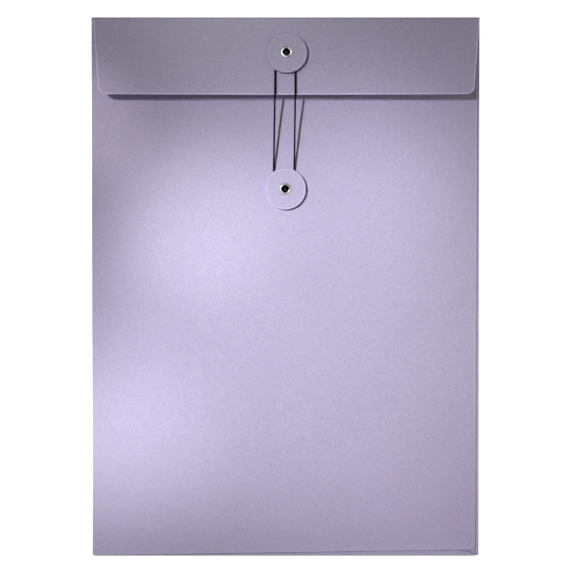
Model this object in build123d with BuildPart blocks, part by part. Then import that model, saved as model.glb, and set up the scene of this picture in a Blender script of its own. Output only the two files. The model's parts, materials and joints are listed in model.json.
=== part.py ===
# A string tie envelope of folded card, lying on its back with the flap closed.
# X runs across it, Y up to the flap's crease and Z out of its front, in millimetres.
# The origin is at the middle of the face that it lies on.
import os
from math import cos, pi, radians, sin, tan

from build123d import *

os.makedirs("parts", exist_ok=True)

# The closed envelope and its card
envelope_width = 230
envelope_height = 320
card = 0.4
overrun = 1

# The crease at the top and the flap that turns on it
crease_inner_radius = 0.5
flap_tilt = 9
flap_length = 46.4
flap_edge_bow = 0.4
flap_left_inset = 1
flap_side_taper = 4
flap_corner_radius = 4.4

# Side and bottom seams: tabs of the back sheet, folded in under the front sheet
fold_gap = 0.2
glue_film = 0.1
glue_clearance = 0.01
glue_margin = 2
side_tab_width = 18
bottom_tab_width = 20
tab_taper_angle = 16
tab_gap = 0.3
tab_tail_inset = 1.5

# The front sheet: how far it stops short of the folds, and how it bellies out
throat_depth = 16
right_inset_top = 1.25
right_inset_bottom = 2.2
bottom_inset_left = 0.45
bottom_inset_right = 3.85
front_corner_radius = 1.2
front_crown = 1.1
mouth_crown = 0.8
crown_rise = 100
mouth_fall = 49
crown_power = 1.5
crown_grid_rows = 33
crown_grid_columns = 25
crown_fit = 0.0005

# The two tie buttons: a loose card disc on a card spacer, clinched by a tubular eyelet
disc_diameter = 24.6
disc_thickness = 0.45
disc_play = 0.05
spacer_diameter = 9.2
spacer_thickness = 1.3
patch_diameter = 16
patch_thickness = 0.3
paste_film = 0.05
eyelet_bore_diameter = 4.4
eyelet_wall = 0.3
eyelet_flange_diameter = 6.7
eyelet_clinch_diameter = 6.6
eyelet_flange_thickness = 0.35
eyelet_roll_radius = 0.25
eyelet_hole_clearance = 0.03
body_button_x = -0.2
body_button_drop = 101.75
flap_button_x = 0.6
flap_button_from_crease = 21
flap_disc_shift = 0.5

# The string, drawn from its knot under the lower disc, up the right side, round the upper spacer and back
string_diameter = 1.1
knot_length = 3.2
knot_diameter = 2.2
knot_height = 1.14
knot_end_diameter = 1.2
string_route = [
    (0.7, 52.15, 3.2),
    (5.15, 52.15, 3.2),
    (5.2, 70.05, 3.2),
    (5.75, 113.4, 9.8),
    (5.8, 144.0, 4.82),
    (-6.0, 144.0, 4.82),
    (-6.2, 113.4, 9.8),
    (-7.0, 69.35, 3.2),
    (-7.0, 52.15, 3.2),
    (-2.5, 52.15, 3.2),
]
hub_bend_radius = 5.3
knot_bend_radius = 4.2
rim_bend_radius = 20
flap_edge_bend_radius = 8
string_bends = [
    knot_bend_radius,
    rim_bend_radius,
    flap_edge_bend_radius,
    hub_bend_radius,
    hub_bend_radius,
    flap_edge_bend_radius,
    rim_bend_radius,
    knot_bend_radius,
]
string_samples = 600
string_neighbour_samples = 40

# Places that follow from the sizes
right = envelope_width / 2
top = envelope_height / 2
crease_outer_radius = crease_inner_radius + card
hinge_y = top - crease_outer_radius
hinge_z = crease_outer_radius
throat_y = top - throat_depth
tab_inner_z = card + fold_gap
tab_outer_z = tab_inner_z + card
front_inner_z = tab_outer_z + glue_film
left_fold_outer = (front_inner_z + card) / 2
seam_fold_outer = tab_outer_z / 2
left_axis_x = left_fold_outer - right
right_axis_x = right - seam_fold_outer
bottom_axis_y = seam_fold_outer - top
side_tab_x = right_axis_x - side_tab_width
bottom_tab_y = bottom_axis_y + bottom_tab_width
tab_slope = tan(radians(tab_taper_angle))
crown_half_width = side_tab_x
crown_start_y = bottom_tab_y + tab_gap
mouth_fall_y = throat_y - mouth_fall
disc_base = spacer_thickness + disc_play
flange_base = disc_base + disc_thickness + disc_play
eyelet_barrel_radius = eyelet_bore_diameter / 2 + eyelet_wall
card_hole_radius = eyelet_barrel_radius + eyelet_hole_clearance
disc_hole_radius = eyelet_barrel_radius + disc_play
patch_base = -(card + paste_film + patch_thickness)
clinch_base = patch_base - eyelet_flange_thickness


def hand_over(piece, name):
    piece.label = name
    export_step(piece, f"parts/{name}.step")


def ease(share):
    share = min(max(share, 0), 1)
    return share * share * (3 - 2 * share)


def front_height(x, y):
    """Height of the front sheet's inner face: flat on the seams, bellied out between them."""
    swell = front_crown * ease((y - crown_start_y) / crown_rise)
    swell -= (front_crown - mouth_crown) * ease((y - mouth_fall_y) / mouth_fall)
    across_share = max(0, 1 - (x / crown_half_width) ** 2) ** crown_power
    return front_inner_z + swell * across_share


def seam_line_y(x):
    """The slanted cut where the side tab's lower end meets the bottom tab."""
    return (right - x) * tab_slope - top


def fold_ring(outer):
    Circle(outer)
    Circle(outer - card, mode=Mode.SUBTRACT)


body_button_y = top - body_button_drop
body_plane = Plane((body_button_x, body_button_y, front_height(body_button_x, body_button_y) + card))
tilt = radians(flap_tilt)
flap_normal = Vector(0, sin(tilt), cos(tilt))
flap_plane = Plane(Vector(0, hinge_y, hinge_z) + flap_normal * crease_inner_radius, (1, 0, 0), flap_normal)
flap_button_at = flap_plane.from_local_coords(Vector(flap_button_x, -flap_button_from_crease, card))
flap_button_plane = Plane(flap_button_at, (1, 0, 0), flap_normal)

# Back sheet, full width above the throat and parted at its folds below it
with BuildPart() as back_panel:
    with BuildSketch():
        Polygon(
            (left_axis_x, bottom_axis_y),
            (right_axis_x, bottom_axis_y),
            (right_axis_x, throat_y),
            (right, throat_y),
            (right, hinge_y),
            (-right, hinge_y),
            (-right, throat_y),
            (left_axis_x, throat_y),
            align=None,
        )
    extrude(amount=card)
hand_over(back_panel.part, "back_panel")

# Left fold: a half round of card from the back sheet up to the front sheet
with BuildPart() as left_fold:
    with BuildSketch(Plane.XZ.offset(-throat_y)):
        with Locations((left_axis_x, left_fold_outer)):
            fold_ring(left_fold_outer)
            Rectangle(envelope_width, envelope_width, align=(Align.MIN, Align.CENTER), mode=Mode.SUBTRACT)
    extrude(amount=throat_y + top)
hand_over(left_fold.part, "left_fold")

# Side tab: folded in from the back sheet's right edge, with slanted ends
side_tab_outline = [
    (right, seam_line_y(right) + tab_gap),
    (right, throat_y),
    (side_tab_x, throat_y - side_tab_width * tab_slope),
    (side_tab_x, seam_line_y(side_tab_x) + tab_gap),
]
with BuildPart() as side_tab:
    with BuildSketch(Plane.XZ.offset(-throat_y)):
        with Locations((right_axis_x, seam_fold_outer)):
            fold_ring(seam_fold_outer)
            Rectangle(envelope_width, envelope_width, align=(Align.MAX, Align.CENTER), mode=Mode.SUBTRACT)
        with Locations((right_axis_x, tab_inner_z)):
            Rectangle(side_tab_width, card, align=(Align.MAX, Align.MIN))
    extrude(amount=throat_y + top)
    with BuildSketch():
        Polygon(*side_tab_outline, align=None)
    extrude(amount=front_inner_z, mode=Mode.INTERSECT)
hand_over(side_tab.part, "side_tab")

# Bottom tab: folded up from the back sheet's lower edge, cut clear of the left fold and the side tab
bottom_tab_left = left_axis_x + tab_gap
bottom_tab_right = side_tab_x - tab_gap
bottom_tab_tail = right - tab_tail_inset
bottom_tab_outline = [
    (bottom_tab_left, -top),
    (bottom_tab_tail, -top),
    (bottom_tab_tail, seam_line_y(bottom_tab_tail)),
    (bottom_tab_right, seam_line_y(bottom_tab_right)),
    (bottom_tab_right, bottom_tab_y),
    (bottom_tab_left + bottom_tab_width * tab_slope, bottom_tab_y),
]
with BuildPart() as bottom_tab:
    with BuildSketch(Plane.YZ.offset(-right)):
        with Locations((bottom_axis_y, seam_fold_outer)):
            fold_ring(seam_fold_outer)
            Rectangle(envelope_width, envelope_width, align=(Align.MIN, Align.CENTER), mode=Mode.SUBTRACT)
        with Locations((bottom_axis_y, tab_inner_z)):
            Rectangle(bottom_tab_width, card, align=(Align.MIN, Align.MIN))
    extrude(amount=envelope_width)
    with BuildSketch():
        Polygon(*bottom_tab_outline, align=None)
    extrude(amount=front_inner_z, mode=Mode.INTERSECT)
hand_over(bottom_tab.part, "bottom_tab")

# The front sheet's outline, cut a little crooked to the folds
front_outline = [
    (left_axis_x, bottom_inset_left - top),
    (right - right_inset_bottom, bottom_inset_right - top),
    (right - right_inset_top, throat_y),
    (left_axis_x, throat_y),
]

# Adhesive films between the tabs and the front sheet, a margin inside both
with BuildPart() as side_seam_glue:
    with BuildSketch(Plane.XY.offset(tab_outer_z)):
        Polygon(*side_tab_outline, align=None)
        Polygon(*front_outline, align=None, mode=Mode.INTERSECT)
        offset(amount=-glue_margin, kind=Kind.INTERSECTION, mode=Mode.REPLACE)
    extrude(amount=glue_film - glue_clearance)
hand_over(side_seam_glue.part, "side_seam_glue")

with BuildPart() as bottom_seam_glue:
    with BuildSketch(Plane.XY.offset(tab_outer_z)):
        Polygon(
            (bottom_tab_left, -top),
            (bottom_tab_right, -top),
            (bottom_tab_right, bottom_tab_y),
            (bottom_tab_left + bottom_tab_width * tab_slope, bottom_tab_y),
            align=None,
        )
        Polygon(*front_outline, align=None, mode=Mode.INTERSECT)
        offset(amount=-glue_margin, kind=Kind.INTERSECTION, mode=Mode.REPLACE)
    extrude(amount=glue_film - glue_clearance)
hand_over(bottom_seam_glue.part, "bottom_seam_glue")

# Front sheet: one bellied surface, given the card's thickness and cut to its outline
grid_x = [right * (2 * n / (crown_grid_columns - 1) - 1) for n in range(crown_grid_columns)]
grid_y = [(throat_y + overrun + top) * n / (crown_grid_rows - 1) - top for n in range(crown_grid_rows)]
front_points = [[(x, y, front_height(x, y)) for x in grid_x] for y in grid_y]
with BuildPart() as front_panel:
    extrude(Face.make_surface_from_array_of_points(front_points, tol=crown_fit), amount=card, dir=(0, 0, 1))
    with BuildSketch():
        Polygon(*front_outline, align=None)
        fillet(vertices().sort_by(Axis.Y)[1], radius=front_corner_radius)
        with Locations((body_button_x, body_button_y)):
            Circle(card_hole_radius, mode=Mode.SUBTRACT)
    extrude(amount=front_inner_z + front_crown + card + overrun, mode=Mode.INTERSECT)
hand_over(front_panel.part, "front_panel")

# Crease: the card bent round the hinge line, from the back sheet to the closed flap
crease_turn = 180 - flap_tilt
with BuildPart() as flap_crease:
    with BuildSketch(Plane.YZ.offset(-right)):
        with BuildLine():
            outside = CenterArc((hinge_y, hinge_z), crease_outer_radius, -90, crease_turn)
            inside = CenterArc((hinge_y, hinge_z), crease_inner_radius, -90, crease_turn)
            Line(outside @ 0, inside @ 0)
            Line(outside @ 1, inside @ 1)
        make_face()
    extrude(amount=envelope_width)
hand_over(flap_crease.part, "flap_crease")

# Flap: tapered sides, a slightly bowed lower edge and rounded corners, lying a little open on the string
flap_left = flap_left_inset - right
flap_end_y = flap_edge_bow - flap_length
with BuildPart() as closure_flap:
    with BuildSketch(flap_plane):
        with BuildLine():
            left_side = Line((flap_left, 0), (flap_left + flap_side_taper, flap_end_y))
            right_side = Line((right - flap_side_taper, flap_end_y), (right, 0))
            ThreePointArc(left_side @ 1, ((flap_left + right) / 2, -flap_length), right_side @ 0)
            Line(right_side @ 1, left_side @ 0)
        make_face()
        fillet(vertices().sort_by(Axis.Y)[:2], radius=flap_corner_radius)
        with Locations((flap_button_x, -flap_button_from_crease)):
            Circle(card_hole_radius, mode=Mode.SUBTRACT)
    extrude(amount=card)
hand_over(closure_flap.part, "closure_flap")


def washer(plane, base, thickness, outer, inner, shift=0):
    with BuildPart() as ring:
        with BuildSketch(plane.offset(base)):
            with Locations((0, -shift)):
                Circle(outer)
            Circle(inner, mode=Mode.SUBTRACT)
        extrude(amount=thickness)
    return ring.part


def eyelet(plane):
    bore = eyelet_bore_diameter / 2
    flange = eyelet_flange_diameter / 2
    clinch = eyelet_clinch_diameter / 2
    with BuildPart() as tube:
        with BuildSketch(Plane(plane.origin, plane.x_dir, plane.x_dir.cross(plane.z_dir))):
            Polygon(
                (bore, clinch_base),
                (clinch, clinch_base),
                (clinch, patch_base),
                (eyelet_barrel_radius, patch_base),
                (eyelet_barrel_radius, flange_base),
                (flange, flange_base),
                (flange, flange_base + eyelet_flange_thickness),
                (bore, flange_base + eyelet_flange_thickness),
                align=None,
            )
            by_height = vertices().sort_by(Axis.Y)
            fillet(by_height[:2] + by_height[-2:], radius=eyelet_roll_radius)
        revolve(axis=Axis(plane.origin, plane.z_dir))
    return tube.part


# Buttons: each has its spacer, loose disc, eyelet and the patch that backs the card behind it.
# The upper disc was punched off its middle.
for owner, plane, shift in [("body", body_plane, 0), ("flap", flap_button_plane, flap_disc_shift)]:
    spacer = washer(plane, 0, spacer_thickness, spacer_diameter / 2, card_hole_radius)
    disc = washer(plane, disc_base, disc_thickness, disc_diameter / 2, disc_hole_radius, shift)
    patch = washer(plane, patch_base, patch_thickness, patch_diameter / 2, card_hole_radius)
    hand_over(spacer, f"{owner}_button_spacer")
    hand_over(disc, f"{owner}_button")
    hand_over(patch, f"{owner}_button_patch")
    hand_over(eyelet(plane), f"{owner}_eyelet")

# String: one round cord on straight runs joined by tangent arcs
with BuildPart() as tie_string:
    with BuildLine() as route:
        FilletPolyline(*string_route, radius=string_bends)
    with BuildSketch(Plane(route.line @ 0, z_dir=route.line % 0)):
        Circle(string_diameter / 2)
    sweep()
hand_over(tie_string.part, "tie_string")

# Knot: a barrel between the string's two ends, pressed flat between the disc and the front sheet
knot_at = (Vector(string_route[0]) + Vector(string_route[-1])) / 2
with BuildPart() as string_knot:
    with BuildSketch(Plane(knot_at)):
        with BuildLine():
            foot = Line((-knot_length / 2, 0), (knot_length / 2, 0))
            Line(foot @ 1, (knot_length / 2, knot_end_diameter / 2))
            Line(foot @ 0, (-knot_length / 2, knot_end_diameter / 2))
            ThreePointArc(
                (-knot_length / 2, knot_end_diameter / 2),
                (0, knot_diameter / 2),
                (knot_length / 2, knot_end_diameter / 2),
            )
        make_face()
    revolve(axis=Axis(knot_at, (1, 0, 0)))
    with BuildSketch(Plane(knot_at).offset(-knot_height / 2)):
        Rectangle(knot_length, knot_diameter)
    extrude(amount=knot_height, mode=Mode.INTERSECT)
hand_over(string_knot.part, "string_knot")

# What the string measures
string_wire = route.wire()
string_section = pi * string_diameter**2 / 4
samples = [string_wire @ (n / string_samples) for n in range(string_samples + 1)]
least_gap = min(
    (samples[a] - samples[b]).length - string_diameter
    for a in range(string_samples + 1)
    for b in range(a + string_neighbour_samples, string_samples + 1)
)
print(f"string length {string_wire.length:.2f}, least gap to itself {least_gap:.2f}")
print(f"string bend radii {string_bends}")
print(f"string volume {tie_string.part.volume:.2f}")
print(f"string section times length {string_section * string_wire.length:.2f}")
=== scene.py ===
import json
import math

import bmesh
import bpy
from mathutils import Matrix, Vector, noise


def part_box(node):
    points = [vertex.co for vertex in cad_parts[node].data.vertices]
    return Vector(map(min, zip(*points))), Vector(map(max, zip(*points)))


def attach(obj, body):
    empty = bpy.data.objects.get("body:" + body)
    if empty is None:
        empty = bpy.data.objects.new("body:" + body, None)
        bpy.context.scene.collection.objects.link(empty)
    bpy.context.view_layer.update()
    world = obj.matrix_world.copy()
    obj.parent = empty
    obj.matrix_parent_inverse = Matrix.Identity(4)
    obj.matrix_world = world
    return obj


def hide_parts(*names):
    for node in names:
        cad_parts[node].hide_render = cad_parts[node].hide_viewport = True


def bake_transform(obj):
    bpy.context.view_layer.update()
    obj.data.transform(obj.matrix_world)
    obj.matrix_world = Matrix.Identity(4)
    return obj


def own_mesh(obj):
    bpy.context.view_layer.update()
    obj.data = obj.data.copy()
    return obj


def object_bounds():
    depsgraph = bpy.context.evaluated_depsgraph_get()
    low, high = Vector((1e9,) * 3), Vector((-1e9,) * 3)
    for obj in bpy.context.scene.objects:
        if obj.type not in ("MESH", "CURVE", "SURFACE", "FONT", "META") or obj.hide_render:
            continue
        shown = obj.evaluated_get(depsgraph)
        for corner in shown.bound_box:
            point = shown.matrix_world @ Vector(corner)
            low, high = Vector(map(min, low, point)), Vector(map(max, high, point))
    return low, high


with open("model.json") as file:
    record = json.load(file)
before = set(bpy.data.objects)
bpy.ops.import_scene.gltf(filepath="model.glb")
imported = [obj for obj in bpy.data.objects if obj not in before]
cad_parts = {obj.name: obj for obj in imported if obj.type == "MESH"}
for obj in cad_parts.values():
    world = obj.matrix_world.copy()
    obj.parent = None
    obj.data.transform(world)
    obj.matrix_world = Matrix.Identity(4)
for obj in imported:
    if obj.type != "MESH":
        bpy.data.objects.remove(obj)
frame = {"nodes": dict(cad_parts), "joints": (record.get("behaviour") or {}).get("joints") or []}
cadLow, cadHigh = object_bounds()
nodes = frame["nodes"]
joints = {joint["name"]: joint for joint in frame["joints"]}
mm = 0.001
up = Vector((0, 0, 1))
across = Vector((1, 0, 0))
print("frame:", len(nodes), "nodes, CAD box", [round(v / mm, 1) for v in cadHigh - cadLow], "mm")

# where the envelope's parts meet, read from the frame
hinge = Vector(joints["flap_hinge"]["pos_m"])
bodyHub = Vector(joints["body_disc_spin"]["pos_m"])
flapHub = Vector(joints["flap_disc_spin"]["pos_m"])
flapNormal = Vector(joints["flap_disc_spin"]["axis"]).normalized()
flapDown = across.cross(flapNormal)  # along the flap, away from its crease
rightEdge = cadHigh.x
topEdge = cadHigh.y
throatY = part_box("front_panel")[1].y
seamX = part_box("side_tab")[0].x
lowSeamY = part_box("bottom_tab")[1].y
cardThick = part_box("back_panel")[1].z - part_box("back_panel")[0].z


# camera: straight above, a touch nearer to the crease than to the lower edge
photoView = {
    "lens": 100.0,
    "sensor": 36.0,
    "span": 340.8 * mm,  # ground from side to side of the picture
    "tilt": 0.95,  # degrees
    "aim": (0.6 * mm, 0.45 * mm),
}


def photoCamera(view):
    lens = bpy.data.cameras.new("photoCamera")
    lens.lens = view["lens"]
    lens.sensor_width = view["sensor"]
    camera = bpy.data.objects.new("photoCamera", lens)
    bpy.context.scene.collection.objects.link(camera)
    distance = view["span"] * view["lens"] / view["sensor"]
    tilt = math.radians(view["tilt"])
    aimX, aimY = view["aim"]
    camera.location = (aimX, aimY + distance * math.sin(tilt), distance * math.cos(tilt))
    camera.rotation_euler = (-tilt, 0, 0)
    bpy.context.scene.camera = camera


photoCamera(photoView)
bpy.context.scene.view_settings.view_transform = "Standard"
print("camera set")


class Wire:
    # one output socket of a node tree; sums and products of wires add Math nodes
    def __init__(self, tree, socket=None):
        self.tree = tree
        self.socket = socket

    def node(self, kind, settings=None, sockets=None, out=0):
        made = self.tree.nodes.new(kind)
        for name, value in (settings or {}).items():
            setattr(made, name, value)
        self.fill(made, sockets or {})
        return Wire(self.tree, made.outputs[out])

    def fill(self, made, sockets):
        for name, value in sockets.items():
            if isinstance(value, Wire):
                self.tree.links.new(value.socket, made.inputs[name])
            else:
                made.inputs[name].default_value = value

    def calc(self, operation, first, second):
        return self.node("ShaderNodeMath", {"operation": operation}, {0: first, 1: second})

    def __add__(self, other):
        return self.calc("ADD", self, other)

    def __sub__(self, other):
        return self.calc("SUBTRACT", self, other)

    def __mul__(self, other):
        return self.calc("MULTIPLY", self, other)

    def __rsub__(self, other):
        return self.calc("SUBTRACT", other, self)

    __radd__ = __add__
    __rmul__ = __mul__

    def stretched(self, scale):
        return self.node("ShaderNodeVectorMath", {"operation": "MULTIPLY"}, {0: self, 1: scale})

    def cloud(self, perMetre, detail):
        sockets = {"Vector": self, "Scale": perMetre, "Detail": detail}
        return self.node("ShaderNodeTexNoise", {}, sockets)

    def between(self, low, high):  # 0 up to low, 1 from high on
        sockets = {"Value": self, "From Min": low, "From Max": high}
        return self.node("ShaderNodeMapRange", {}, sockets)

    def tinted(self, first, second):  # 6, 7 and output 2 are the Mix node's colours
        blend = {"data_type": "RGBA", "clamp_factor": True}
        return self.node("ShaderNodeMix", blend, {0: self, 6: (*first, 1), 7: (*second, 1)}, 2)

    def shaded(self, colour):
        light = {"operation": "SCALE"}
        return self.node("ShaderNodeVectorMath", light, {0: colour, "Scale": self})

    def relief(self, finish):
        sockets = {"Strength": finish["bump"], "Distance": finish["bumpDepth"], "Height": self}
        return self.node("ShaderNodeBump", {}, sockets)


def newMaterial(name):
    material = bpy.data.materials.new(name)
    material.use_nodes = True
    tree = material.node_tree
    shader = tree.nodes["Principled BSDF"]
    start = Wire(tree)
    return material, shader, start


def objectPlace(start):
    return start.node("ShaderNodeTexCoord", out="Object")


def pointMark(start, name):
    return start.node("ShaderNodeAttribute", {"attribute_name": name}, out="Fac")


# uncoated card: felt grain, pressed fibres, dark flecks, slow clouding; its cut edges are drawn paler,
# and painted shade darkens some cut edges and the tie discs round their eyelets
lilacCard = {
    "pink": (0.653, 0.584, 0.820),
    "blue": (0.618, 0.572, 0.826),
    "grainPerMetre": 720.0,
    "fibreAlong": 250.0,
    "fibreAcross": 1150.0,
    "fleckPerMetre": 620.0,
    "fleckRange": (0.60, 0.74),
    "cloudPerMetre": 24.0,
    "mottlePerMetre": 260.0,
    "mottleRange": (0.3, 0.7),
    "tone": 0.74,  # what the next four add to
    "grainTone": 0.26,
    "feltTone": 0.20,
    "cloudTone": 0.08,
    # scales the edge mark: above 0 a paler cut edge, below 0 painted shade
    "edgeToneAndShade": 0.40,
    "fleckDark": 0.08,
    "grainHeight": 0.6,
    "feltHeight": 0.8,
    "bump": 0.22,
    "bumpDepth": 0.05 * mm,
    "rough": 0.80,
    "grainRough": 0.16,
    "specular": 0.22,
}
discGrainTurn = 0.7  # radians; the discs are cut askew to the sheet's grain


def cardMaterial(name, card, turn=0.0):
    material, shader, start = newMaterial(name)
    place = objectPlace(start)
    if turn:
        place = start.node("ShaderNodeVectorRotate", {}, {"Vector": place, "Angle": turn})
    along, over = card["fibreAlong"], card["fibreAcross"]
    grain = place.cloud(card["grainPerMetre"], detail=3.0)
    fibreX = place.stretched((along, over, over)).cloud(1.0, detail=1.0)
    fibreY = place.stretched((over, along, over)).cloud(1.0, detail=1.0)
    felt = (fibreX + fibreY) * 0.5
    slow = place.cloud(card["cloudPerMetre"], detail=2.0)
    hue = place.cloud(card["mottlePerMetre"], detail=3.0).between(*card["mottleRange"])
    fleck = place.cloud(card["fleckPerMetre"], detail=1.0).between(*card["fleckRange"])
    edge = pointMark(start, "edgeToneAndShade")
    level = card["tone"] + grain * card["grainTone"] + felt * card["feltTone"]
    level = level + slow * card["cloudTone"] + edge * card["edgeToneAndShade"]
    level = level * (1 - fleck * card["fleckDark"])
    height = grain * card["grainHeight"] + felt * card["feltHeight"]
    start.fill(shader, {
        "Base Color": level.shaded(hue.tinted(card["blue"], card["pink"])),
        "Roughness": card["rough"] + grain * card["grainRough"],
        "Specular IOR Level": card["specular"],
        "Normal": height.relief(card),
    })
    return material


cardSkin = cardMaterial("lilac_card", lilacCard)
discSkin = cardMaterial("lilac_disc_card", lilacCard, discGrainTurn)

# bright rolled metal, with painted shade down the barrel: the bore's inside is drawn near black
eyeletMetal = {
    "bright": (0.70, 0.68, 0.685),
    "dull": (0.17, 0.16, 0.165),
    # the bore's own metal drawn near black as painted shade
    "inside": (0.006, 0.006, 0.006),
    "rollPerMetre": 300.0,
    "polishRange": (0.36, 0.64),
    "rough": 0.28,
    "markRough": 0.14,
    "bump": 0.12,
    "bumpDepth": 0.03 * mm,
}


def metalMaterial(name, metal):
    material, shader, start = newMaterial(name)
    marks = objectPlace(start).cloud(metal["rollPerMetre"], detail=4.0)
    polish = marks.between(*metal["polishRange"])
    start.fill(shader, {
        "Base Color": polish.tinted(metal["dull"], metal["bright"]),
        "Metallic": 1.0,
        "Roughness": metal["rough"] + marks * metal["markRough"],
        "Normal": marks.relief(metal),
    })
    # barrelShade marks the bore, drawn near black as painted shade
    barrelShade = pointMark(start, "barrel")
    bright = Wire(start.tree, shader.outputs[0])
    dark = start.node("ShaderNodeBsdfDiffuse", {}, {"Color": (*metal["inside"], 1)})
    mixed = start.node("ShaderNodeMixShader", {}, {0: barrelShade, 1: bright, 2: dark})
    start.fill(start.tree.nodes["Material Output"], {"Surface": mixed})
    return material


eyeletSkin = metalMaterial("rolled_eyelet", eyeletMetal)

# black cotton: dusty fibres over a near black yarn
blackCotton = {
    "yarn": (0.004, 0.0015, 0.010),
    "fluff": (0.010, 0.004, 0.020),
    "fluffPerMetre": 4200.0,
    "rough": 0.80,
    "fluffRough": 0.15,
    "specular": 0.06,
    "bump": 0.35,
    "bumpDepth": 0.05 * mm,
}


def cottonMaterial(name, cotton):
    material, shader, start = newMaterial(name)
    fluff = objectPlace(start).cloud(cotton["fluffPerMetre"], detail=3.0)
    start.fill(shader, {
        "Base Color": fluff.tinted(cotton["yarn"], cotton["fluff"]),
        "Roughness": cotton["rough"] + fluff * cotton["fluffRough"],
        "Specular IOR Level": cotton["specular"],
        "Normal": fluff.relief(cotton),
    })
    return material


stringSkin = cottonMaterial("black_cotton", blackCotton)

# dried paste, pale and a little glossy
driedPaste = {
    "thin": (0.80, 0.77, 0.68),
    "thick": (0.70, 0.66, 0.55),
    "streakPerMetre": 160.0,
    "streakStretch": (1.0, 0.3, 1.0),
    "rough": 0.45,
    "streakRough": 0.2,
    "bump": 0.3,
    "bumpDepth": 0.05 * mm,
}


def pasteMaterial(name, paste):
    material, shader, start = newMaterial(name)
    place = objectPlace(start).stretched(paste["streakStretch"])
    streak = place.cloud(paste["streakPerMetre"], detail=4.0)
    start.fill(shader, {
        "Base Color": streak.tinted(paste["thin"], paste["thick"]),
        "Roughness": paste["rough"] + streak * paste["streakRough"],
        "Normal": streak.relief(paste),
    })
    return material


pasteSkin = pasteMaterial("dried_paste", driedPaste)
print("materials made")


# string: one twisted cord, taken from its knot round the upper button and back
tieString = {
    "diameter": 1.1 * mm,
    "route": [  # in millimetres
        (0.7, 52.15, 3.2),
        (5.15, 52.15, 3.2),
        (5.2, 70.05, 3.2),
        (5.28, 76.65, 4.2),
        (5.67, 106.8, 8.8),
        (5.75, 113.4, 10.06),
        (5.76, 119.9, 8.85),
        (5.79, 137.5, 5.87),
        (5.8, 144.0, 4.82),
        (-6.0, 144.0, 4.82),
        (-6.04, 137.5, 5.87),
        (-6.16, 119.9, 8.85),
        (-6.2, 113.4, 10.06),
        (-6.32, 106.8, 8.8),
        (-6.88, 75.95, 4.2),
        (-7.0, 69.35, 3.2),
        (-7.0, 52.15, 3.2),
        (-2.5, 52.15, 3.2),
    ],
    "stepsPerSpan": 200,
    "ringSpacing": 0.22 * mm,
    "plies": 3,
    "layLength": 3.4 * mm,
    "ringPoints": 18,
    "lobe": 0.14,
    "laidDown": 0.25,  # share of its height that it keeps when the flap is open
}


def stringLine(cord):
    curve = bpy.data.curves.new("stringLine", "CURVE")
    curve.dimensions = "3D"
    curve.resolution_u = cord["stepsPerSpan"]
    spline = curve.splines.new("NURBS")
    spline.points.add(len(cord["route"]) - 1)
    for point, place in zip(spline.points, cord["route"]):
        point.co = (*(Vector(place) * mm), 1)
    spline.order_u = 3
    spline.use_endpoint_u = True
    spline.resolution_u = cord["stepsPerSpan"]
    line = bpy.data.objects.new("stringLine", curve)
    read = bpy.data.meshes.new_from_object(line)
    points = [vertex.co.copy() for vertex in read.vertices]
    bpy.data.objects.remove(line)
    kept = [points[0]]
    for point in points[1:-1]:
        if (point - kept[-1]).length >= cord["ringSpacing"]:
            kept.append(point)
    return kept + [points[-1]]


def meshObject(name, points, faces, skin, marks=None):
    mesh = bpy.data.meshes.new(name)
    mesh.from_pydata(points, [], faces)
    for attribute, values in (marks or {}).items():
        mesh.attributes.new(attribute, "FLOAT", "POINT").data.foreach_set("value", values)
    shell = bmesh.new()
    shell.from_mesh(mesh)
    bmesh.ops.recalc_face_normals(shell, faces=shell.faces)
    shell.to_mesh(mesh)
    shell.free()
    for face in mesh.polygons:
        face.use_smooth = True
    mesh.materials.append(skin)
    made = bpy.data.objects.new(name, mesh)
    bpy.context.scene.collection.objects.link(made)
    return made


def ringFaces(rings, count, closed=False):
    # quads between rings of equal count, with the two ends capped unless the rings close on themselves
    faces = []
    last = rings if closed else rings - 1
    for ring in range(last):
        here = ring * count
        after = (ring + 1) % rings * count
        for k in range(count):
            turn = (k + 1) % count
            faces.append((here + k, here + turn, after + turn, after + k))
    if not closed:
        faces.append(tuple(range(count)))
        faces.append(tuple((rings - 1) * count + k for k in range(count)))
    return faces


def twistedString(cord, line):
    points = []
    travelled = 0.0
    side = (line[1] - line[0]).cross(up).normalized()
    for n, centre in enumerate(line):
        before = line[max(n - 1, 0)]
        ahead = (line[min(n + 1, len(line) - 1)] - before).normalized()
        side = (side - ahead * side.dot(ahead)).normalized()
        other = ahead.cross(side)
        travelled += (centre - before).length
        twist = 2 * math.pi * travelled / cord["layLength"]
        for k in range(cord["ringPoints"]):
            angle = 2 * math.pi * k / cord["ringPoints"]
            lobe = abs(math.sin(cord["plies"] * (angle - twist) / 2))
            radius = cord["diameter"] / 2 * (1 - cord["lobe"] * (1 - lobe))
            points.append(centre + (side * math.cos(angle) + other * math.sin(angle)) * radius)
    return meshObject("tie_cord", points, ringFaces(len(line), cord["ringPoints"]), stringSkin)


cordLine = stringLine(tieString)
cordLength = sum((b - a).length for a, b in zip(cordLine, cordLine[1:]))
tieCord = twistedString(tieString, cordLine)
print("string:", round(cordLength / mm, 1), "mm on", len(cordLine), "rings")

# knot: the two ends bound together in a flattened barrel of wraps
stringKnot = {"wraps": 4, "ridge": 0.10, "ringPoints": 28, "rings": 49, "shoulder": 0.55}


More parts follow.
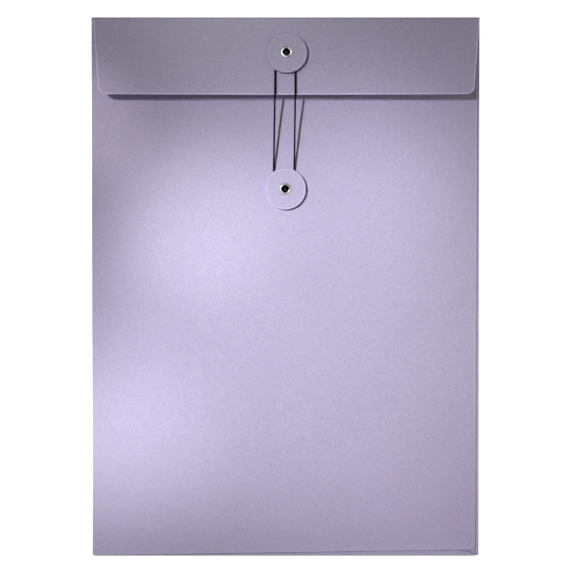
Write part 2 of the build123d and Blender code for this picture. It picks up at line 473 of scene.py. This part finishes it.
def boundKnot(knot):
    low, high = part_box("string_knot")
    middle = (low + high) / 2
    half = (high - low) / 2
    points = []
    for n in range(knot["rings"]):
        along = 2 * n / (knot["rings"] - 1) - 1
        girth = knot["shoulder"] + (1 - knot["shoulder"]) * math.sqrt(max(0.0, 1 - along * along))
        for k in range(knot["ringPoints"]):
            angle = 2 * math.pi * k / knot["ringPoints"]
            ridge = abs(math.sin(math.pi * knot["wraps"] * (along + 1) / 2 + angle / 2))
            size = girth * (1 - knot["ridge"] * (1 - ridge))
            offset = Vector((along, size * math.cos(angle), size * math.sin(angle)))
            points.append(middle + offset * half)
    return meshObject("tie_knot", points, ringFaces(knot["rings"], knot["ringPoints"]), stringSkin)


tieKnot = boundKnot(stringKnot)
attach(tieCord, "string")
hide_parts("tie_string")
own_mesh(tieCord)
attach(tieKnot, "string")
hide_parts("string_knot")
print("string and knot ride on the string body")


def ease(share):
    share = min(max(share, 0.0), 1.0)
    return share * share * (3 - 2 * share)


# card sheets: two skins on one grid, with softened edges where the card is cut
cutEdge = {
    "soft": 0.10 * mm,  # the edge is rounded this far in
    "lowered": 0.07 * mm,  # and this far down
    "pale": 0.55 * mm,  # its own tone reaches this far in
    "rubbed": 1.1 * mm,  # and has faded out here
}
punchedHole = {"cells": 6, "cellSize": 1.0 * mm, "margin": 0.1}  # grid cells round an eyelet


def spaced(start, end, step):
    count = max(1, round(abs(end - start) / step))
    return [start + (end - start) * n / count for n in range(count + 1)]


def gridLines(low, high, step, hole, cutLow, cutHigh):
    # grid values from low to high, close at cut edges and in even cells round the eyelet's hole
    insets = [cutEdge["soft"], cutEdge["pale"], cutEdge["rubbed"]]
    head = [low]
    tail = [high]
    if cutLow:
        head = head + [low + inset for inset in insets]
    if cutHigh:
        tail = [high - inset for inset in reversed(insets)] + tail
    lines = head + spaced(head[-1], hole[0], step)[1:] + hole[1:]
    return lines + spaced(lines[-1], tail[0], step)[1:] + tail[1:]


def holeLines(centre):
    half = punchedHole["cells"] / 2
    return [centre + (n - half) * punchedHole["cellSize"] for n in range(punchedHole["cells"] + 1)]


def holeSpan(lines, centre):  # first and last grid line of the cells round the hole
    near = punchedHole["cellSize"] * (punchedHole["cells"] / 2 + punchedHole["margin"])
    inside = [n for n, line in enumerate(lines) if abs(line - centre) < near]
    return inside[0], inside[-1]


def cutToneAndShade(cut, gaps):  # the strongest tone of the four sides, from the gaps to them
    fade = cutEdge["rubbed"] - cutEdge["pale"]
    tones = [cut[side] * (1 - ease((gap - cutEdge["pale"]) / fade)) for side, gap in gaps.items()]
    return max(tones, key=abs)


noHole = (0, -1)  # an empty span of grid lines


def sheetFaces(wide, high, spanX=noHole, spanY=noHole):
    # quads of the outer and inner skin, and walls along the sheet's sides and round its hole
    count = wide * high
    faces = []

    def wall(a, b):
        faces.append((a, b, b + count, a + count))

    for j in range(high - 1):
        for i in range(wide - 1):
            if spanX[0] <= i < spanX[1] and spanY[0] <= j < spanY[1]:
                continue
            a = j * wide + i
            faces.append((a, a + 1, a + wide + 1, a + wide))
            faces.append((a + count, a + wide + count, a + wide + 1 + count, a + 1 + count))
    rims = [((0, wide - 1), (0, high - 1)), (spanX, spanY)]
    for (left, right), (low, top) in rims:
        for i in range(left, right):
            wall(low * wide + i, low * wide + i + 1)
            wall(top * wide + i, top * wide + i + 1)
        for j in range(low, top):
            wall(j * wide + left, (j + 1) * wide + left)
            wall(j * wide + right, (j + 1) * wide + right)
    return faces


def dropLoosePoints(mesh):
    loose = bmesh.new()
    loose.from_mesh(mesh)
    bmesh.ops.delete(loose, geom=[v for v in loose.verts if not v.link_faces], context="VERTS")
    loose.to_mesh(mesh)
    loose.free()


def cardSheet(name, columns, rows, place, hole, cut, skin):
    # place(column, row) gives the outer point and the outward normal
    # hole is (column, row, radius), or None
    # cut says how pale each cut side is, how dark if below 0 (painted shade), and is 0 where the sheet
    # goes on
    wide, high = len(columns), len(rows)
    spanX, spanY = noHole, noHole
    if hole:
        spanX, spanY = holeSpan(columns, hole[0]), holeSpan(rows, hole[1])
    outer, inner, edgeMarks = [], [], []
    for j, row in enumerate(rows):
        for i, column in enumerate(columns):
            atColumn, atRow = column, row
            atHole = spanX[0] <= i <= spanX[1] and spanY[0] <= j <= spanY[1]
            if atHole and (i in spanX or j in spanY):  # the cells' square rim is drawn into a circle
                out = Vector((column - hole[0], row - hole[1])).normalized() * hole[2]
                atColumn, atRow = hole[0] + out.x, hole[1] + out.y
            point, normal = place(atColumn, atRow)
            onSide = {"left": i == 0, "right": i == wide - 1, "low": j == 0, "high": j == high - 1}
            atCut = any(cut[side] and met for side, met in onSide.items())
            drop = cutEdge["lowered"] if atCut else 0.0
            outer.append(point - normal * drop)
            inner.append(point - normal * (cardThick - drop))
            gaps = {"left": column - columns[0], "right": columns[-1] - column}
            gaps.update({"low": row - rows[0], "high": rows[-1] - row})
            edgeMarks.append(cutToneAndShade(cut, gaps))
    faces = sheetFaces(wide, high, spanX, spanY)
    made = meshObject(name, outer + inner, faces, skin, {"edgeToneAndShade": edgeMarks + edgeMarks})
    dropLoosePoints(made.data)
    return made


# front sheet and the left fold it comes from, in one unbroken sheet
frontSheet = {
    "crown": 1.1 * mm,
    "mouthCrown": 0.8 * mm,
    "crownRise": 100 * mm,
    "mouthFall": 49 * mm,
    "crownPower": 1.5,
    "rightInset": (2.2 * mm, 1.25 * mm),  # at the lower edge and at the throat
    "lowInset": (0.45 * mm, 3.85 * mm),  # at the fold and at the right edge
    "corner": 1.2 * mm,
    "curl": 0.40 * mm,
    "curlWidth": 5 * mm,
    "curlGrows": 20 * mm,  # the lift grows over this much of the lower edge, from the fold
    "step": 2.6 * mm,
    "foldSteps": 14,
    "wave": 0.22 * mm,
    "waveLength": 75 * mm,
    "flatRound": 22 * mm,
    "holeRadius": 2.53 * mm,
    "slopeStep": 0.05 * mm,
    "cut": {"left": 0.0, "right": 0.35, "low": 0.4, "high": 0.4},
}


def frontHeight(sheet, x, y):
    swell = sheet["crown"] * ease((y - lowSeamY) / sheet["crownRise"])
    fallFrom = throatY - sheet["mouthFall"]
    swell -= (sheet["crown"] - sheet["mouthCrown"]) * ease((y - fallFrom) / sheet["mouthFall"])
    middle = max(0.0, 1 - (x / seamX) ** 2)
    wave = sheet["wave"] * noise.noise(Vector((x, y, 0)) / sheet["waveLength"]) * ease(2 * middle)
    flat = sheet["flatRound"]  # no wave round the button or at the lower seam
    away = (Vector((x, y)) - bodyHub.xy).length
    wave *= ease((away - flat) / flat) * ease((y - lowSeamY) / flat)
    return swell * middle ** sheet["crownPower"] + wave


def makeFrontSheet(sheet):
    foldLow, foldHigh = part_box("left_fold")
    foldRadius = (foldHigh.z - foldLow.z) / 2
    foldX = foldLow.x + foldRadius
    foldArc = math.pi * foldRadius
    flatZ = foldHigh.z
    sideX = [rightEdge - inset for inset in sheet["rightInset"]]
    lowY = [-topEdge + inset for inset in sheet["lowInset"]]
    tall = throatY - lowY[0]
    skew = lowY[1] - lowY[0]

    def flatPoint(x, y):
        return Vector((x, y, flatZ + frontHeight(sheet, x, y)))

    def curled(column, row):  # the two glued edges lift a little off the paste
        right = ease(1 - (sideX[1] - column) / sheet["curlWidth"])
        below = ease(1 - (row - lowY[0]) / sheet["curlWidth"])
        return sheet["curl"] * max(right, below) * ease((column - foldX) / sheet["curlGrows"])

    def cutSide(row):  # the right side is cut a little crooked to the fold
        return sideX[0] + (sideX[1] - sideX[0]) * (row - lowY[0]) / tall

    def place(column, row):
        if column < foldX:  # round the fold, from the back sheet's edge
            turn = math.pi * (foldX - column) / foldArc
            out = Vector((-math.sin(turn), 0, math.cos(turn)))
            return Vector((foldX, row, foldRadius)) + out * foldRadius, out
        rounding = max(0.0, sheet["corner"] - (row - lowY[0]))
        reach = cutSide(row) - (sheet["corner"] - math.sqrt(sheet["corner"] ** 2 - rounding ** 2))
        spread = (column - foldX) / (sideX[1] - foldX)
        x = foldX + (reach - foldX) * spread
        y = row + skew * spread * (1 - (row - lowY[0]) / tall)
        point = flatPoint(x, y) + up * curled(column, row)
        small = sheet["slopeStep"]
        slopeX = flatPoint(x + small, y) - flatPoint(x - small, y)
        slopeY = flatPoint(x, y + small) - flatPoint(x, y - small)
        return point, slopeX.cross(slopeY).normalized()

    # the column and row that land on the button's eyelet
    spread = (bodyHub.x - foldX) / (cutSide(bodyHub.y) - foldX)
    holeColumn = foldX + (sideX[1] - foldX) * spread
    lift = skew * spread
    holeRow = (bodyHub.y - lift * throatY / tall) / (1 - lift / tall)
    hole = (holeColumn, holeRow, sheet["holeRadius"])
    columns = spaced(foldX - foldArc, foldX, foldArc / sheet["foldSteps"])[:-1]
    columns += gridLines(foldX, sideX[1], sheet["step"], holeLines(holeColumn), False, True)
    rows = gridLines(lowY[0], throatY, sheet["step"], holeLines(holeRow), True, True)
    return cardSheet("front_sheet", columns, rows, place, hole, sheet["cut"], cardSkin)


front = makeFrontSheet(frontSheet)
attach(front, "envelope")
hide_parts("front_panel", "left_fold")
print("front sheet:", len(front.data.polygons), "faces")

# side tab: folded in from the right edge, its slanted lower end cut clear of the bottom tab
sideTab = {
    "slant": 16.0,  # degrees
    "trim": 0.25 * mm,
    "step": 2.6 * mm,
    "foldSteps": 14,
    # its slanted lower end is painted dark: painted shadow in the gap to the bottom tab
    "cut": {"left": 0.0, "right": 0.0, "low": -0.6, "high": 0.3},
}


def makeSideTab(tab):
    tabLow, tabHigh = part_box("side_tab")
    foldRadius = tabHigh.z / 2
    foldX = tabHigh.x - foldRadius
    foldArc = math.pi * foldRadius
    slope = math.tan(math.radians(tab["slant"]))
    span = tabHigh.y - tabLow.y

    def place(column, row):
        if column < foldArc:
            turn = column / foldRadius
            out = Vector((math.sin(turn), 0, -math.cos(turn)))
            point = Vector((foldX, 0, foldRadius)) + out * foldRadius
        else:
            out = up
            point = Vector((foldX - (column - foldArc), 0, tabHigh.z))
        slant = (tabHigh.x - point.x) * slope
        start = tabLow.y + tab["trim"] + slant
        point.y = start + (tabHigh.y - slant - start) * (row - tabLow.y) / span
        return point, out

    columns = spaced(0.0, foldArc, foldArc / tab["foldSteps"])
    columns += spaced(foldArc, foldArc + foldX - tabLow.x, tab["step"])[1:]
    middle = [(tabLow.y + tabHigh.y) / 2]
    rows = gridLines(tabLow.y, tabHigh.y, tab["step"], middle, True, True)
    return cardSheet("side_tab_sheet", columns, rows, place, None, tab["cut"], cardSkin)


tabSheet = makeSideTab(sideTab)
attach(tabSheet, "envelope")
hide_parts("side_tab")
print("side tab:", len(tabSheet.data.polygons), "faces")

# flap: tapered sides, a bowed lower edge with rounded corners, a slight wave along it
closingFlap = {
    "length": 46.4 * mm,
    "bow": 0.4 * mm,
    "bowPower": 4,
    "leftInset": 1.0 * mm,
    "taper": 4.0 * mm,
    "corner": 4.4 * mm,
    "innerRadius": 0.5 * mm,  # of the crease it hangs from
    "footGap": 0.03 * mm,
    "step": 2.6 * mm,
    "cornerRows": 9,
    "lastRow": 0.025 * mm,  # up from the lower edge
    "wave": 0.16 * mm,
    "waveLength": 60 * mm,
    "waveLayer": 40 * mm,  # which slice of the noise it takes
    "flatHalf": 18 * mm,
    "holeRadius": 2.53 * mm,
    "cut": {"left": 0.9, "right": 0.9, "low": 0.0, "high": 1.0},
}
flapFoot = hinge + flapNormal * (closingFlap["innerRadius"] + cardThick)


def makeFlap(flap):
    bendY = flap["length"] - flap["corner"]
    middle = flap["leftInset"] / 2

    def halfWidth(row):
        side = rightEdge - middle - flap["taper"] * row / flap["length"]
        if row <= bendY:
            return side
        rest = flap["corner"] ** 2 - (row - bendY) ** 2
        return side - flap["corner"] + math.sqrt(max(0.0, rest))

    def place(column, row):
        share = row / flap["length"]
        x = middle + column * halfWidth(row) / rightEdge
        down = row - flap["bow"] * (column / rightEdge) ** 2 * share ** flap["bowPower"]
        free = ease(share) * ease(abs(x) / flap["flatHalf"] - 1)
        sample = Vector((x, down, flap["waveLayer"])) / flap["waveLength"]
        wave = flap["wave"] * noise.noise(sample) * free
        return flapFoot + across * x + flapDown * down + flapNormal * wave, flapNormal

    hubRow = (flapHub - flapFoot).dot(flapDown)
    hole = ((flapHub.x - middle) * rightEdge / halfWidth(hubRow), hubRow, flap["holeRadius"])
    columns = gridLines(-rightEdge, rightEdge, flap["step"], holeLines(hole[0]), True, True)
    quarter = math.pi / 2 / flap["cornerRows"]
    rows = gridLines(flap["footGap"], bendY, flap["step"], holeLines(hubRow), False, False)
    rows += [bendY + flap["corner"] * math.sin(quarter * n) for n in range(1, flap["cornerRows"])]
    rows += [flap["length"] - flap["lastRow"], flap["length"]]
    return cardSheet("closing_flap", columns, rows, place, hole, flap["cut"], cardSkin)


flapSheet = makeFlap(closingFlap)
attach(flapSheet, "flap")
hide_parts("closure_flap")
print("flap:", len(flapSheet.data.polygons), "faces")

# crease: the card bent round the hinge line
topCrease = {
    "innerRadius": closingFlap["innerRadius"],
    "turnSteps": 22,
    "step": 5.0 * mm,
    "wornColumns": 2,  # at each end
}


def makeCrease(crease):
    tilt = math.atan2(flapNormal.y, flapNormal.z)
    turn = math.pi - tilt
    columns = [-rightEdge, -rightEdge + cutEdge["soft"]]
    columns += spaced(-rightEdge + cutEdge["rubbed"], rightEdge - cutEdge["rubbed"], crease["step"])
    columns += [rightEdge - cutEdge["soft"], rightEdge]
    wide = len(columns)
    points = []
    edgeMarks = []
    for radius in (crease["innerRadius"] + cardThick, crease["innerRadius"]):
        for n in range(crease["turnSteps"] + 1):
            angle = -math.pi / 2 + turn * n / crease["turnSteps"]
            out = Vector((0, math.cos(angle), math.sin(angle)))
            for i, x in enumerate(columns):
                points.append(Vector((x, hinge.y, hinge.z)) + out * radius)
                edgeMarks.append(1.0 if min(i, wide - 1 - i) < crease["wornColumns"] else 0.0)
    faces = sheetFaces(wide, crease["turnSteps"] + 1)
    return meshObject("top_crease", points, faces, cardSkin, {"edgeToneAndShade": edgeMarks})


creaseStrip = makeCrease(topCrease)
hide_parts("flap_crease")
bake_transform(creaseStrip)


def turned(name, profile, seat, segments, skin, shape, marks):
    # revolves (radius, height) points about a button's own axis
    points = []
    values = []
    for n, (radius, height) in enumerate(profile):
        for k in range(segments):
            angle = 2 * math.pi * k / segments
            reach = shape(n, radius, angle)
            points.append(seat @ Vector((reach * math.cos(angle), reach * math.sin(angle), height)))
            values.append(marks[1][n])
    return meshObject(name, points, ringFaces(len(profile), segments, True), skin, {marks[0]: values})


# tie disc: die cut card with a line pressed in near its rim; heights are measured from its hub
tieDisc = {
    "radius": 12.3 * mm,
    "hole": 2.56 * mm,
    "base": 1.35 * mm,
    "thick": 0.45 * mm,
    "rim": 0.14 * mm,
    "rimRound": [(1.0, 0.1), (0.3, 0.4), (0.0, 1.0)],  # in and down, as shares of the rim
    "flatTo": 2.2 * mm,  # this and the next six are measured in from the edge
    "pressFrom": 1.375 * mm,
    "pressed": 1.1 * mm,
    "pressTo": 0.825 * mm,
    "paleFrom": 0.728 * mm,
    "paleTo": 0.532 * mm,
    "rimFrom": 0.392 * mm,
    "press": 0.04 * mm,  # depth of the line
    "seat": 3.7 * mm,
    "seatSoft": 0.45 * mm,
    # seatShadeTone darkens the card round the eyelet's flange: painted contact shade
    "seatShadeTone": -0.6,
    "pressTone": 0.1,
    "pressToTone": 0.35,
    "paleTone": 0.75,
    "segments": 128,
}


def makeDisc(name, disc, seat, shift, rimEdgeAndShade):
    top, low = disc["base"] + disc["thick"], disc["base"]
    edge, rim = disc["radius"], disc["rim"]
    rings = [  # radius, height, and how much paler or darker the card is there
        (disc["hole"], low, 0.0),
        (disc["hole"], top - rim / 2, disc["seatShadeTone"]),
        (disc["hole"] + rim / 2, top, disc["seatShadeTone"]),
        (disc["hole"] + rim, top, disc["seatShadeTone"]),
        (disc["seat"], top, disc["seatShadeTone"]),
        (disc["seat"] + disc["seatSoft"], top, 0.0),
        (edge - disc["flatTo"], top, 0.0),
        (edge - disc["pressFrom"], top, 0.0),
        (edge - disc["pressed"], top - disc["press"], disc["pressTone"]),
        (edge - disc["pressTo"], top, disc["pressToTone"]),
        (edge - disc["paleFrom"], top, disc["paleTone"]),
        (edge - disc["paleTo"], top, disc["paleTone"]),
        (edge - disc["rimFrom"], top, rimEdgeAndShade),
    ]
    rings += [(edge - rim * inward, top - rim * down, rimEdgeAndShade) for inward, down in disc["rimRound"]]
    rings += [(edge, low + rim / 2, rimEdgeAndShade), (edge - rim / 2, low, 0.0)]
    profile = [ring[:2] for ring in rings]
    edgeMarks = [ring[2] for ring in rings]

    def offMiddle(n, radius, angle):
        return radius - shift * ease((radius - disc["seat"]) / (edge - disc["seat"])) * math.sin(angle)

    return turned(name, profile, seat, disc["segments"], discSkin, offMiddle, ("edgeToneAndShade", edgeMarks))


# eyelet: a rolled flange, a slightly squared bore that narrows, and a clinched end split into petals
tubeEyelet = {
    "bore": 2.2 * mm,
    "boreEnd": 1.15 * mm,
    "squared": 0.06,
    "sides": 4,
    "barrel": 2.5 * mm,
    "flange": 3.35 * mm,
    "flangeBase": 1.85 * mm,
    "flangeTop": 2.2 * mm,
    "clinch": 3.3 * mm,
    "clinchTop": -0.75 * mm,
    "clinchBase": -1.1 * mm,
    "flangeSteps": 16,
    # these steps are drawn near black too, as painted shade
    "darkSteps": 2,  # the last steps of the flange, inside the bore
    "clinchSteps": 8,
    "segments": 96,
    "splits": 6,
    "splitDepth": 0.35 * mm,
    "splitPower": 3,
}


def makeEyelet(name, eyelet, seat):
    bore, base, clinchTop = eyelet["bore"], eyelet["flangeBase"], eyelet["clinchTop"]
    height = eyelet["flangeTop"] - base
    profile = [(eyelet["barrel"], clinchTop), (eyelet["barrel"], base)]
    # inside marks where the bore is painted near black as shade
    inside = [0.0, 0.0]
    outside = len(profile)
    middle, reach = (eyelet["flange"] + bore) / 2, (eyelet["flange"] - bore) / 2
    for n in range(eyelet["flangeSteps"] + 1):  # over the rolled flange, from its rim into the bore
        angle = math.pi * n / eyelet["flangeSteps"]
        profile.append((middle + reach * math.cos(angle), base + height * math.sin(angle)))
        inside.append(1.0 if n > eyelet["flangeSteps"] - eyelet["darkSteps"] else 0.0)
    profile += [(bore, base - height), (eyelet["boreEnd"], clinchTop)]
    inside += [1.0, 1.0]
    depth = clinchTop - eyelet["clinchBase"]
    middle, reach = (eyelet["clinch"] + bore) / 2, (eyelet["clinch"] - bore) / 2
    for n in range(eyelet["clinchSteps"] + 1):  # and out over the clinched end
        angle = math.pi * n / eyelet["clinchSteps"]
        profile.append((middle - reach * math.cos(angle), clinchTop - depth * math.sin(angle)))
        inside.append(0.0)

    def squaredBore(n, radius, angle):
        if n < outside:
            return radius
        share = ease((eyelet["flange"] - radius) / (eyelet["flange"] - bore))
        if profile[n][1] < clinchTop:  # the clinched end splits into petals
            petal = abs(math.sin(eyelet["splits"] * angle / 2))
            return radius - (1 - share) * eyelet["splitDepth"] * (1 - petal) ** eyelet["splitPower"]
        return radius * (1 + eyelet["squared"] * math.cos(eyelet["sides"] * angle) * share)

    return turned(name, profile, seat, eyelet["segments"], eyeletSkin, squaredBore, ("barrel", inside))


def buttonSeat(hub, normal):
    # local Z along the eyelet, local X across the envelope
    turn = Matrix((across, normal.cross(across), normal)).transposed()
    return Matrix.Translation(hub) @ turn.to_4x4()


# shift is how far the disc sits below its eyelet's middle; rimEdgeAndShade darkens each disc's cut rim:
# a darker cut edge, with painted shade added, most on the flap's disc
tieButtons = {
    "flap": {
        "seat": buttonSeat(flapHub, flapNormal),
        "carrier": "flap",
        "spinner": "flap_disc",
        "shift": 0.5 * mm,
        "rimEdgeAndShade": -1.1,
    },
    "body": {
        "seat": buttonSeat(bodyHub, up),
        "carrier": "envelope",
        "spinner": "body_disc",
        "shift": 0.0,
        "rimEdgeAndShade": -0.3,
    },
}
for owner, button in tieButtons.items():
    seat, shift, rimEdgeAndShade = button["seat"], button["shift"], button["rimEdgeAndShade"]
    discPiece = makeDisc(owner + "_tie_disc", tieDisc, seat, shift, rimEdgeAndShade)
    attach(discPiece, button["spinner"])
    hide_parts(owner + "_button")
    eyeletPiece = makeEyelet(owner + "_rolled_eyelet", tubeEyelet, seat)
    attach(eyeletPiece, button["carrier"])
    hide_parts(owner + "_eyelet")
print("two tie buttons made")

# the other pieces keep their CAD shape and take a finish
finishes = {
    "back_panel": cardSkin,
    "bottom_tab": cardSkin,
    "side_seam_glue": pasteSkin,
    "bottom_seam_glue": pasteSkin,
    "flap_button_spacer": discSkin,
    "flap_button_patch": discSkin,
    "body_button_spacer": discSkin,
    "body_button_patch": discSkin,
}
for name, skin in finishes.items():
    nodes[name].data.materials.clear()
    nodes[name].data.materials.append(skin)
print("finishes on", len(finishes), "CAD pieces")

# studio: white ground and surround, uneven light from the upper left, a white card on the right
studio = {
    "floorHalf": 3.0,
    "floorDrop": 0.2 * mm,
    "floorGlow": 0.86,
    "floorWhite": 0.85,
    "ambient": 0.094,
    "ambientTint": (1.03, 1.0, 0.77),
    "lampFrom": (-1.8, 1.0),
    "lampHeight": 51.2,  # degrees above the ground
    "lampAway": 1.0,
    "lampSpread": 4.4,  # degrees
    "key": {"strength": 0.72, "tint": (1.03, 1.0, 1.07)},
    "sideCard": {
        "at": (0.22, -0.02, 0.04),
        "size": (0.30, 0.07),
        "power": 0.097,
        "tint": (1.0, 1.0, 0.76),
    },
    "pools": [  # name, aim, radius, power, tint, softness
        ("body_pool", (-0.006, -0.025, 0.004), 0.165, 28.8, (1.00, 1.0, 1.03), 1.0),
        ("corner_pool", (-0.114, -0.093, 0.002), 0.072, 26.5, (1.00, 1.0, 0.99), 0.9),
        ("left_pool", (-0.052, 0.040, 0.004), 0.065, 11.2, (0.92, 1.0, 0.86), 0.5),
        ("right_pool", (0.060, 0.073, 0.004), 0.070, 12.8, (0.96, 1.0, 1.05), 1.0),
        ("edge_pool", (-0.120, 0.098, 0.003), 0.044, 12.0, (1.06, 1.0, 0.92), 0.35),
        ("flap_pool", (-0.020, 0.160, 0.003), 0.085, 7.5, (0.97, 1.0, 0.86), 1.0),
        ("low_pool", (0.080, -0.150, 0.002), 0.058, 5.0, (1.15, 1.0, 1.38), 1.0),
        ("foot_pool", (-0.116, -0.158, 0.002), 0.048, 4.2, (1.15, 1.0, 1.38), 1.0),
    ],
}
pureWhite = (1, 1, 1, 1)


def viewRays(start):
    # 1 for rays from the camera, a mirror or clear glass
    names = ("Is Camera Ray", "Is Glossy Ray", "Is Transmission Ray")
    camera, mirror, glass = [start.node("ShaderNodeLightPath", out=name) for name in names]
    return start.node("ShaderNodeClamp", {}, {"Value": camera + mirror + glass})


def makeWorld(settings):
    world = bpy.data.worlds.new("white_surround")
    world.use_nodes = True
    bpy.context.scene.world = world
    start = Wire(world.node_tree)
    soft = {"Color": (*settings["ambientTint"], 1), "Strength": settings["ambient"]}
    ambient = start.node("ShaderNodeBackground", {}, soft)
    white = start.node("ShaderNodeBackground", {}, {"Color": pureWhite, "Strength": 1.0})
    mixed = start.node("ShaderNodeMixShader", {}, {0: viewRays(start), 1: ambient, 2: white})
    start.fill(start.tree.nodes["World Output"], {"Surface": mixed})


def makeFloor(settings):
    half, z = settings["floorHalf"], -settings["floorDrop"]
    corners = [(-half, -half, z), (half, -half, z), (half, half, z), (-half, half, z)]
    material, shader, start = newMaterial("white_floor")
    pale = settings["floorWhite"]
    matt = start.node("ShaderNodeBsdfDiffuse", {}, {"Color": (pale, pale, pale, 1)})
    glow = start.node("ShaderNodeEmission", {}, {"Color": pureWhite, "Strength": settings["floorGlow"]})
    lit = start.node("ShaderNodeAddShader", {}, {0: matt, 1: glow})
    mixed = start.node("ShaderNodeMixShader", {}, {0: viewRays(start), 1: matt, 2: lit})
    start.fill(start.tree.nodes["Material Output"], {"Surface": mixed})
    start.tree.nodes.remove(shader)
    floor = meshObject("studio_floor", corners, [(0, 1, 2, 3)], material)


def lampDirection(origin, degrees):
    side = Vector(origin).normalized()
    height = math.radians(degrees)
    return Vector((side.x * math.cos(height), side.y * math.cos(height), math.sin(height)))


def addLamp(name, kind, tint, strength, place, aim):
    lamp = bpy.data.lights.new(name, kind)
    lamp.color = tint
    lamp.energy = strength
    holder = bpy.data.objects.new(name, lamp)
    bpy.context.scene.collection.objects.link(holder)
    holder.location = place
    holder.rotation_euler = (aim - place).to_track_quat("-Z", "Y").to_euler()
    return holder


def makeLamps(settings):
    toLamp = lampDirection(settings["lampFrom"], settings["lampHeight"])
    sun = settings["key"]
    key = addLamp("key", "SUN", sun["tint"], sun["strength"], toLamp, Vector())
    key.data.angle = math.radians(settings["lampSpread"])
    card = settings["sideCard"]
    board = addLamp("side_card", "AREA", card["tint"], card["power"], Vector(card["at"]), Vector())
    board.data.shape = "RECTANGLE"
    board.data.size, board.data.size_y = card["size"]
    board.visible_camera = False
    away = settings["lampAway"]
    wide = away * math.tan(math.radians(settings["lampSpread"] / 2))
    for name, middle, radius, power, tint, softness in settings["pools"]:
        aim = Vector(middle)
        spot = addLamp(name, "SPOT", tint, power, aim + toLamp * away, aim)
        spot.data.spot_size = 2 * math.atan(radius / away)
        spot.data.spot_blend = 1.0
        spot.data.shadow_soft_size = wide * softness
        spot.scale = (1, toLamp.z, 1)  # so that the slanting beam makes a round pool


makeWorld(studio)
makeFloor(studio)
makeLamps(studio)
print("studio lit")
